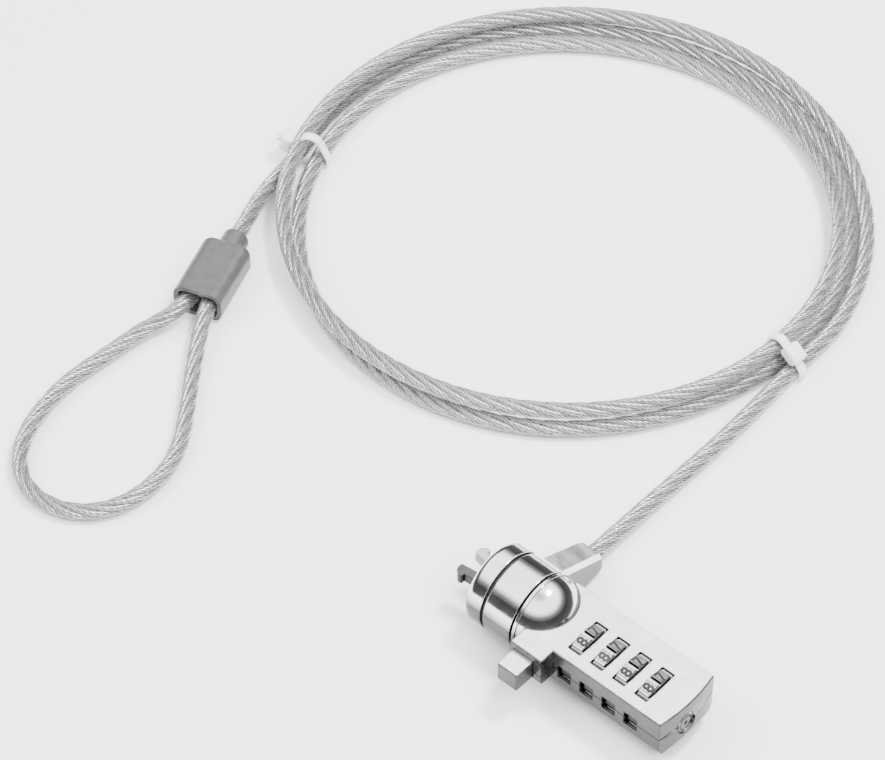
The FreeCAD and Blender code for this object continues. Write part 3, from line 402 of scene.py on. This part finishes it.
@dataclass(frozen=True)
class StrandTree:
    """Geometry Nodes that lay strands round a line."""

    name: str = "laid_strands"

    def build(self) -> bpy.types.NodeTree:
        """Make the tree.

        Returns:
            A tree with named inputs for the strands, their sizes and their finish.
        """
        tree = bpy.data.node_groups.new(self.name, "GeometryNodeTree")
        face = tree.interface
        face.new_socket("Geometry", in_out="INPUT", socket_type="NodeSocketGeometry")
        for name, kind in (("Strands", "Int"), ("Strand Radius", "Float"), ("Lay Radius", "Float"),
                           ("Lay Length", "Float"), ("Step", "Float"), ("Material", "Material")):
            face.new_socket(name, in_out="INPUT", socket_type=f"NodeSocket{kind}")
        face.new_socket("Geometry", in_out="OUTPUT", socket_type="NodeSocketGeometry")
        graph = Graph(tree)
        given = graph.node("NodeGroupInput").outputs
        line = graph.node("GeometryNodeMeshToCurve", {0: given["Geometry"]})
        even = graph.node("GeometryNodeResampleCurve", {"Curve": line.outputs[0], "Length": given["Step"]},
                          mode="LENGTH")
        along = graph.node("GeometryNodeSplineParameter").outputs["Length"]
        marked = graph.node("GeometryNodeStoreNamedAttribute",
                            {"Geometry": even.outputs[0], "Name": "along", "Value": along},
                            data_type="FLOAT", domain="POINT")
        copies = graph.node("GeometryNodeDuplicateElements", {"Geometry": marked.outputs[0],
                                                              "Amount": given["Strands"]}, domain="SPLINE")
        share = graph.math("DIVIDE", copies.outputs[1], given["Strands"])
        turns = graph.math("ADD", share, graph.math("DIVIDE", along, given["Lay Length"]))
        angle = graph.math("MULTIPLY", turns, 2 * math.pi)
        normal = graph.node("GeometryNodeInputNormal").outputs[0]
        tangent = graph.node("GeometryNodeInputTangent").outputs[0]
        side = graph.node("ShaderNodeVectorMath", {0: tangent, 1: normal},
                          operation="CROSS_PRODUCT").outputs[0]
        across = graph.scaled(normal, graph.math("MULTIPLY", graph.math("COSINE", angle), given["Lay Radius"]))
        upward = graph.scaled(side, graph.math("MULTIPLY", graph.math("SINE", angle), given["Lay Radius"]))
        offset = graph.node("ShaderNodeVectorMath", {0: across, 1: upward}, operation="ADD").outputs[0]
        laid = graph.node("GeometryNodeSetPosition", {"Geometry": copies.outputs[0], "Offset": offset})
        ring = graph.node("GeometryNodeCurvePrimitiveCircle",
                          {"Resolution": 8, "Radius": given["Strand Radius"]})
        outward = graph.node("ShaderNodeVectorMath", {0: graph.node("GeometryNodeInputPosition").outputs[0]},
                             operation="NORMALIZE").outputs[0]
        section = graph.node("GeometryNodeStoreNamedAttribute", {"Geometry": ring.outputs[0], "Name": "around",
                                                                 "Value": outward}, data_type="FLOAT_VECTOR",
                             domain="POINT")
        strands = graph.node("GeometryNodeCurveToMesh",
                             {"Curve": laid.outputs[0], "Profile Curve": section.outputs[0], "Fill Caps": True})
        core = graph.node("GeometryNodeCurveToMesh", {"Curve": marked.outputs[0],
                                                      "Profile Curve": section.outputs[0], "Fill Caps": True})
        both = graph.node("GeometryNodeJoinGeometry")
        tree.links.new(strands.outputs[0], both.inputs[0])
        tree.links.new(core.outputs[0], both.inputs[0])
        smooth = graph.node("GeometryNodeSetShadeSmooth", {"Geometry": both.outputs[0]})
        real = graph.node("GeometryNodeRealizeInstances", {"Geometry": smooth.outputs[0]})
        dressed = graph.node("GeometryNodeSetMaterial",
                             {"Geometry": real.outputs[0], "Material": given["Material"]})
        graph.node("NodeGroupOutput", {0: dressed.outputs[0]})
        return tree


@dataclass(frozen=True)
class Drift:
    """A smooth sideways or upward change along the cable, between two angles run through."""

    start: float
    end: float
    amount: float

    def at(self, angle: float) -> float:
        """Give how much of the change is done at an angle, in millimetres."""
        share = min(max((angle - self.start) / (self.end - self.start), 0.0), 1.0)
        return self.amount * share * share * (3 - 2 * share)


@dataclass
class Coil:
    """The cable's loose turns, slightly oval, with the first turn on top and the second stepping inside it."""

    centre: tuple[float, float] = (-94.1, 106.0)
    radius: float = 74.6
    first_angle: float = 16.0
    last_angle: float = 908.0
    step: float = 22.3
    oval: float = 1.0
    oval_angle: float = 40.0
    climb: Drift = Drift(20, 110, 4.5)
    come_down: Drift = Drift(380, 450, -4.5)
    step_inside: Drift = Drift(200, 430, -7.8)
    ease_out: Drift = Drift(440, 600, 3.4)
    spread: Drift = Drift(570, 640, 3.5)
    close_up: Drift = Drift(650, 715, -3.5)
    leave: Drift = Drift(740, 905, 4.6)

    def lie(self, angle: float) -> tuple[float, float]:
        """Find how the cable lies at an angle.

        Args:
            angle: degrees run through from the coil's first point.

        Returns:
            Outward offset and lift, in millimetres.
        """
        outward = self.oval * math.cos(math.radians(2 * (angle - self.oval_angle)))
        for drift in (self.step_inside, self.ease_out, self.spread, self.close_up, self.leave):
            outward += drift.at(angle)
        lift = self.climb.at(angle) + self.come_down.at(angle)
        return outward, lift

    def place(self, angle: float, outward: float, height: float) -> Vector:
        """Give a point of the coil in millimetres from its angle, offset and height."""
        way = math.radians(angle)
        reach = self.radius + outward
        return Vector((self.centre[0] + reach * math.cos(way), self.centre[1] + reach * math.sin(way), height))

    def points(self, cable_radius: float) -> list[Vector]:
        """Give the control points of all turns.

        Args:
            cable_radius: the cable's radius in millimetres.

        Returns:
            Control points, set out so that the smooth line has the turns' radius.
        """
        count = round((self.last_angle - self.first_angle) / self.step)
        spread = 1 / math.cos(math.radians(self.step / 2)) - 1
        made = []
        for index in range(count + 1):
            angle = self.first_angle + index * self.step
            outward, lift = self.lie(angle)
            made.append(self.place(angle, outward + spread * (self.radius + outward), cable_radius + lift))
        return made


@dataclass
class Rope:
    """One free length of steel rope in its clear sheath."""

    name: str
    route: Sequence[Vector]
    leaves_at: Vector
    length: float
    far_end: str
    lay: str
    stands_for: tuple[str, ...]
    diameter: float = 4.5
    strands: int = 6
    strand_radius: float = 0.72
    lay_radius: float = 1.4
    lay_length: float = 34.0
    step: float = 1.6

    def line(self, name: str, bevel: float) -> bpy.types.Object:
        """Make the route's smooth curve.

        Args:
            name: object's name.
            bevel: radius of the tube round it, in metres.

        Returns:
            A curve object with one open spline.
        """
        curve = bpy.data.curves.new(name, "CURVE")
        curve.dimensions = "3D"
        curve.resolution_u = 10
        spline = curve.splines.new("NURBS")
        spline.points.add(len(self.route) - 1)
        for point, place in zip(spline.points, self.route):
            point.co = (*(place * MM), 1.0)
        spline.order_u = 3
        spline.use_endpoint_u = True
        spline.resolution_u = 10
        curve.bevel_depth = bevel
        curve.bevel_resolution = 5
        curve.use_fill_caps = True
        made = bpy.data.objects.new(name, curve)
        bpy.context.scene.collection.objects.link(made)
        return made

    def strand_mesh(self, tree: bpy.types.NodeTree, material: bpy.types.Material) -> bpy.types.Mesh:
        """Lay the strands round the route.

        Args:
            tree: the strands' Geometry Nodes.
            material: the wires' finish.

        Returns:
            The strands as one plain mesh.
        """
        bare = self.line(f"{self.name}_line", 0.0)
        path = bpy.data.objects.new(f"{self.name}_path", evaluated_mesh(bare))
        bpy.context.scene.collection.objects.link(path)
        modifier = path.modifiers.new("strands", "NODES")
        modifier.node_group = tree
        given = {item.name: item.identifier for item in tree.interface.items_tree if item.in_out == "INPUT"}
        for name, value in (("Strands", self.strands), ("Strand Radius", self.strand_radius * MM),
                            ("Lay Radius", self.lay_radius * MM), ("Lay Length", self.lay_length * MM),
                            ("Step", self.step * MM), ("Material", material)):
            modifier[given[name]] = value
        mesh = evaluated_mesh(path)
        for spare in (path, bare):
            bpy.data.objects.remove(spare)
        return mesh

    def build(self, tree: bpy.types.NodeTree, wires: bpy.types.Material, sheath: bpy.types.Material,
              partners: Iterable[bpy.types.Object]) -> list[bpy.types.Object]:
        """Args:
            tree: the strands' Geometry Nodes.
            wires: the strands' finish.
            sheath: the sheath's finish.
            partners: pieces on the cable; not used.

        Returns:
            The sheath and the strands.
        """
        tube = self.line(self.name, self.diameter / 2 * MM)
        tube.data.materials.append(sheath)
        strands = mesh_object(f"{self.name}_strands", self.strand_mesh(tree, wires), wires)
        for piece in (tube, strands):
            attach(piece, Body.CABLE.value)
        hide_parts(*self.stands_for)
        return [tube, strands]


@dataclass
class CableSide:
    """The cable from the lug to its ferrule, and its loop."""

    coil: Coil = field(default_factory=Coil)
    cable_radius: float = 2.25
    ferrule_mouth: tuple[float, float, float] = (-144.4, 18.0, 4.5)
    ferrule_angle: float = -69.5
    leg_half: float = 2.3
    lug_mouth: tuple[float, float, float] = (-17.556, 22.65, 3.15)

    def at_ferrule(self, along: float, across: float) -> Vector:
        """Give a point in millimetres from its place along and across the ferrule."""
        way = math.radians(self.ferrule_angle)
        forward = Vector((math.cos(way), math.sin(way), 0))
        sideways = Vector((-math.sin(way), math.cos(way), 0))
        return Vector(self.ferrule_mouth) + forward * along + sideways * across

    def main_route(self) -> list[Vector]:
        """Give the points from the lug through the coil into the ferrule."""
        low = self.cable_radius
        lead = [Vector((-17.556, 17.18, 3.15)), Vector((-17.556, 26.65, 3.15)), Vector((-17.9, 49, low)),
                Vector((-17.7, 76, low)), Vector((-19.6, 104, low))]
        tail = [Vector((-163.6, 74.5, low)), Vector((-160.4, 58, low + 0.8)), self.at_ferrule(-26.2, 0),
                self.at_ferrule(-19.8, -0.9), self.at_ferrule(-15.6, -self.leg_half)]
        return lead + self.coil.points(low) + tail

    def loop_route(self) -> list[Vector]:
        """Give the points of the teardrop loop, from the ferrule back into it."""
        low = self.cable_radius
        flat = [(-149.6, 4.0, 0.4), (-150.6, -9, 0), (-151.6, -21.5, 0), (-148.6, -36.8, 0), (-142.2, -47.5, 0),
                (-132.6, -53.0, 0), (-121.8, -51.6, 0), (-114.0, -44.2, 0), (-111.3, -33.4, 0),
                (-113.6, -20.4, 0), (-122.5, -8.0, 0), (-131.3, 3.0, 0.4)]
        splay = self.leg_half + 1.0
        return [self.at_ferrule(-4.4, -self.leg_half), self.at_ferrule(4, -splay),
                *(Vector((x, y, low + lift)) for x, y, lift in flat),
                self.at_ferrule(4, splay), self.at_ferrule(-4.4, self.leg_half)]

    def build(self, finishes: dict[Slot, bpy.types.Material], ties: Sequence[bpy.types.Object]) -> None:
        """Make both lengths of rope.

        Args:
            finishes: material of each slot.
            ties: the nylon ties on the coil.
        """
        tree = StrandTree().build()
        sheath = SheathFinish("clear_sheath", (0.9, 0.9, 0.91)).build()
        nodes = frame["nodes"]
        cable = Rope("cable", self.main_route(), Vector(self.lug_mouth), 1310.0, "fitting", "coiled",
                     ("cable_lead", "cable_coil", "cable_tail"))
        cable.build(tree, finishes[Slot.CABLE], sheath, [*ties, nodes["ferrule_cover"], nodes["crimp_sleeve"]])
        loop = Rope("loop_cable", self.loop_route(), self.at_ferrule(0, -self.leg_half), 178.0, "object", "loose",
                    ("cable_loop",))
        loop.build(tree, finishes[Slot.CABLE], sheath, [])
        LOG.info("cable with its coil, and its loop")


@dataclass
class CableTie:
    """Nylon tie round the turns of the coil at one angle."""

    name: str
    stands_for: str
    angle: float
    held: tuple[tuple[float, float], ...]
    head: tuple[float, float]
    head_lean: float
    stub: float
    cable_radius: float = 2.25
    width: float = 2.5
    thickness: float = 1.0
    head_size: tuple[float, float, float] = (5.0, 4.6, 3.6)
    outline_points: int = 72

    def outline(self) -> list[Vector]:
        """Give the strap's middle line round what it holds, as offset and height in millimetres."""
        reach = self.cable_radius + 0.1 + self.thickness / 2
        made = []
        for index in range(self.outline_points):
            way = 2 * math.pi * index / self.outline_points
            toward = Vector((math.cos(way), math.sin(way)))
            farthest = max((Vector(centre) for centre in self.held), key=toward.dot)
            place = farthest + toward * reach
            made.append(Vector((place.x, max(place.y, self.thickness / 2 + 0.05))))
        return made

    def build(self, coil: Coil, material: bpy.types.Material) -> bpy.types.Object:
        """Make the strap, its head and the cut end that stands out of it.

        Args:
            coil: the coil that it holds.
            material: the nylon.

        Returns:
            The tie.
        """
        work = bmesh.new()
        line = self.outline()
        half_width = self.width / 2
        half = self.thickness / 2
        section = ((-half_width, -half * 0.5), (-half_width * 0.75, -half), (half_width * 0.75, -half),
                   (half_width, -half * 0.5), (half_width, half * 0.4), (half_width * 0.7, half),
                   (-half_width * 0.7, half), (-half_width, half * 0.4))
        rings = []
        for index, here in enumerate(line):
            tangent = (line[(index + 1) % len(line)] - line[index - 1]).normalized()
            outward = Vector((tangent.y, -tangent.x))
            rings.append([work.verts.new((here.x + outward.x * up, side, here.y + outward.y * up))
                          for side, up in section])
        for ring, following in zip(rings, rings[1:] + rings[:1]):
            for corner in range(len(section)):
                after = (corner + 1) % len(section)
                work.faces.new((ring[corner], ring[after], following[after], following[corner]))
        lean = Matrix.Rotation(math.radians(self.head_lean), 4, "Y")
        seat = Matrix.Translation((self.head[0], 0, self.head[1])) @ lean
        block = bmesh.ops.create_cube(work, size=1.0, matrix=seat @ Matrix.Diagonal((*self.head_size, 1)))
        edges = list({edge for vert in block["verts"] for edge in vert.link_edges})
        bmesh.ops.bevel(work, geom=edges, offset=1.0, segments=4, profile=0.55, affect="EDGES")
        if self.stub:
            spot = seat @ Matrix.Translation((0, 0, self.head_size[2] / 2 + self.stub / 2))
            size = Matrix.Diagonal((self.thickness, self.width, self.stub, 1))
            end = bmesh.ops.create_cube(work, size=1.0, matrix=spot @ size)
            rims = list({edge for vert in end["verts"] for edge in vert.link_edges})
            bmesh.ops.bevel(work, geom=rims, offset=0.25, segments=2, affect="EDGES")
        bmesh.ops.recalc_face_normals(work, faces=work.faces)
        turn = Matrix.Rotation(math.radians(self.angle), 4, "Z")
        middle = Matrix.Translation((coil.centre[0] * MM, coil.centre[1] * MM, 0))
        outset = Matrix.Translation((coil.radius, 0, 0))
        work.transform(middle @ turn @ Matrix.Scale(MM, 4) @ outset)
        mesh = bpy.data.meshes.new(self.name)
        work.to_mesh(mesh)
        work.free()
        mesh.shade_smooth()
        tie = mesh_object(self.name, mesh, material)
        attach(tie, Body.CABLE.value)
        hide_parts(self.stands_for)
        LOG.info("tie %s", self.name)
        return tie


@dataclass
class NumberRing:
    """Engraved numbers round one wheel."""

    index: int
    axis_y: float = -4.22
    axis_z: float = 9.4
    pad_radius: float = 7.2
    first_value: int = 8
    first_angle: float = -18.0
    size: float = 3.8
    boldness: float = 0.05
    depth: float = 0.02
    frame_half: tuple[float, float] = (1.56, 1.38)
    frame_line: float = 0.2

    def digit(self, value: int) -> bpy.types.Mesh:
        """Make one number as a flat mesh, centred, in millimetres.

        Args:
            value: the number, 0 to 9.

        Returns:
            The number's mesh.
        """
        text = bpy.data.curves.new(f"digit_{value}", "FONT")
        text.body = str(value)
        text.size = self.size
        text.offset = self.boldness * self.size
        text.extrude = self.depth
        text.align_x = "CENTER"
        text.align_y = "CENTER"
        text.resolution_u = 4
        carrier = bpy.data.objects.new(text.name, text)
        bpy.context.scene.collection.objects.link(carrier)
        mesh = evaluated_mesh(carrier)
        bpy.data.objects.remove(carrier)
        return mesh

    def frame_line_mesh(self) -> bpy.types.Mesh:
        """Make the fine engraved frame round one number, flat and centred, in millimetres.

        Returns:
            The frame's mesh.
        """
        across, high = self.frame_half
        inner = (across - self.frame_line, high - self.frame_line)
        signs = ((-1, -1), (1, -1), (1, 1), (-1, 1))
        corners = [(x * half[0], y * half[1], up) for up in (-self.depth, self.depth)
                   for half in (self.frame_half, inner) for x, y in signs]
        faces = []
        for here in range(4):
            after = (here + 1) % 4
            faces += [(8 + here, 8 + after, 12 + after, 12 + here), (here, 4 + here, 4 + after, after),
                      (here, after, 8 + after, 8 + here), (4 + after, 4 + here, 12 + here, 12 + after)]
        mesh = bpy.data.meshes.new("number_frame")
        mesh.from_pydata(corners, [], faces)
        return mesh

    def build(self, material: bpy.types.Material) -> bpy.types.Object:
        """Set the numbers on the wheel's pads.

        Args:
            material: the marks' paint.

        Returns:
            The ring of numbers.
        """
        low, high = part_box(f"number_wheel_{self.index}")
        middle = (low.x + high.x) / 2
        work = bmesh.new()
        for pad in range(10):
            way = math.radians(self.first_angle + 36 * pad)
            outward = Vector((0, math.sin(way), math.cos(way)))
            right = Vector((0, math.cos(way), -math.sin(way)))
            top = Vector((-1, 0, 0))
            turn = Matrix((right, top, outward)).transposed().to_4x4()
            place = Vector((middle, self.axis_y * MM, self.axis_z * MM)) + outward * self.pad_radius * MM
            mesh = self.digit((self.first_value - pad) % 10)
            lowest = Vector(min(v.co[i] for v in mesh.vertices) for i in range(3))
            highest = Vector(max(v.co[i] for v in mesh.vertices) for i in range(3))
            centred = Matrix.Translation(-Vector(((lowest.x + highest.x) / 2, (lowest.y + highest.y) / 2, 0)))
            onto_pad = Matrix.Translation(place) @ turn @ Matrix.Scale(MM, 4)
            mesh.transform(onto_pad @ centred)
            work.from_mesh(mesh)
            line = self.frame_line_mesh()
            line.transform(onto_pad @ Matrix.Rotation(math.pi / 2, 4, "Z"))
            work.from_mesh(line)
        mesh = bpy.data.meshes.new(f"numbers_{self.index}")
        work.to_mesh(mesh)
        work.free()
        ring = mesh_object(f"numbers_{self.index}", mesh, material)
        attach(ring, f"wheel_{self.index}")
        LOG.info("numbers of wheel %d", self.index)
        return ring


@dataclass
class Studio:
    """Floor, lights, surroundings and camera."""

    camera_place: tuple[float, float, float] = (341.5, -429.8, 706.3)
    azimuth: float = 41.95
    pitch: float = 48.0
    lens: float = 154.58
    floor_size: float = 3.0

    def build(self) -> None:
        """Make all of the studio."""
        self.floor()
        self.surroundings()
        self.lights()
        self.camera()
        LOG.info("studio")

    def floor(self) -> None:
        """Make the pale floor."""
        mesh = bpy.data.meshes.new("floor")
        half = self.floor_size / 2
        mesh.from_pydata([(-half, -half, 0), (half, -half, 0), (half, half, 0), (-half, half, 0)], [],
                         [(0, 1, 2, 3)])
        material, graph, shader = new_material("pale_floor")
        place = graph.node("ShaderNodeTexCoord").outputs["Object"]
        tone = graph.blend(graph.noise(place, 3.0), (0.9, 0.9, 0.9), (0.93, 0.93, 0.93))
        graph.tree.links.new(tone, shader.inputs["Base Color"])
        shader.inputs["Roughness"].default_value = 0.9
        floor = mesh_object("floor", mesh, material)
        floor.location.z = -0.00002

    def surroundings(self) -> None:
        """Make the room that the metal mirrors: pale above, with dark bands near the horizon."""
        world = bpy.data.worlds.new("room")
        bpy.context.scene.world = world
        world.use_nodes = True
        world.node_tree.nodes.clear()
        graph = Graph(world.node_tree)
        way = graph.node("ShaderNodeTexCoord").outputs["Generated"]
        height = graph.node("ShaderNodeSeparateXYZ", {0: way}).outputs[2]
        bands = graph.node("ShaderNodeValToRGB", {0: height})
        ramp = bands.color_ramp
        ramp.elements[0].position = 0.0
        ramp.elements[0].color = (0.25, 0.25, 0.25, 1)
        ramp.elements[1].position = 1.0
        ramp.elements[1].color = (0.9, 0.9, 0.9, 1)
        for position, shade in ((0.06, 0.1), (0.4, 0.05), (0.56, 0.3), (0.74, 2.6), (0.95, 2.4)):
            step = ramp.elements.new(position)
            step.color = (shade, shade, shade, 1)
        back = graph.node("ShaderNodeBackground", {"Color": bands.outputs[0], "Strength": 1.3})
        graph.node("ShaderNodeOutputWorld", {0: back.outputs[0]})

    def lights(self) -> None:
        """Make the soft lamps."""
        for name, place, size, power in (("key", (0.1, 0.35, 0.85), 0.16, 11.5),
                                         ("fill", (0.6, -0.1, 0.9), 0.8, 15.0),
                                         ("side", (-0.7, -0.4, 0.7), 0.8, 12.5)):
            lamp = bpy.data.lights.new(name, "AREA")
            lamp.shape = "DISK"
            lamp.size = size
            lamp.energy = power
            made = bpy.data.objects.new(name, lamp)
            made.location = place
            made.rotation_euler = (-Vector(place)).to_track_quat("-Z", "Y").to_euler()
            made.visible_glossy = name == "key"
            bpy.context.scene.collection.objects.link(made)

    def camera(self) -> None:
        """Make the camera."""
        lens = bpy.data.cameras.new("camera")
        lens.sensor_width = 36
        lens.lens = self.lens
        lens.clip_start = 0.05
        lens.clip_end = 10
        made = bpy.data.objects.new("camera", lens)
        made.location = Vector(self.camera_place) * MM
        turn, tilt = math.radians(self.azimuth), math.radians(self.pitch)
        back = Vector((math.sin(turn) * math.cos(tilt), -math.cos(turn) * math.cos(tilt), math.sin(tilt)))
        made.rotation_euler = (-back).to_track_quat("-Z", "Y").to_euler()
        bpy.context.scene.collection.objects.link(made)
        bpy.context.scene.camera = made


@dataclass
class CarriedParts:
    """CAD nodes that show as they are, with their finishes."""

    finishes: dict[Slot, bpy.types.Material]

    def dress(self) -> None:
        """Give each CAD node the finish of its slot."""
        for part in frame["record"]["subparts"]:
            node = frame["nodes"][part["node"]]
            node.data.materials.clear()
            node.data.materials.append(self.finishes[Slot(part["material_slot"])])
            LOG.info("dressed %s", part["node"])


def clear_start() -> None:
    """Remove what the program starts with, and keep the frame."""
    kept = set(frame["nodes"].values()) | set(frame["bodies"].values())
    for spare in [item for item in bpy.data.objects if item not in kept]:
        bpy.data.objects.remove(spare)


def main() -> None:
    """Build everything."""
    logging.basicConfig(level=logging.INFO, format="%(name)s: %(message)s")
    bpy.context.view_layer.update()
    clear_start()
    finishes = finish_table()
    CarriedParts(finishes).dress()
    side = CableSide()
    low = side.cable_radius
    ties = [CableTie("tie_lower_band", "tie_lower", -2.0, ((0, low), (-5.3, low + 4.4), (-4.5, low)),
                     (-0.6, 7.2), 35.0, 0.0),
            CableTie("tie_upper_band", "tie_upper", 203.0, ((-2, low + 4.3), (-4, low), (0.8, low)),
                     (4.6, 6.0), 75.0, 1.2)]
    pieces = [tie.build(side.coil, finishes[Slot.TIE]) for tie in ties]
    side.build(finishes, pieces)
    marks = MouldedFinish("number_paint", (0.01, 0.01, 0.01), (0.03, 0.03, 0.03), (0.4, 0.6)).build()
    for index in range(1, 5):
        NumberRing(index).build(marks)
    Studio().build()


if __name__ == "__main__":
    main()
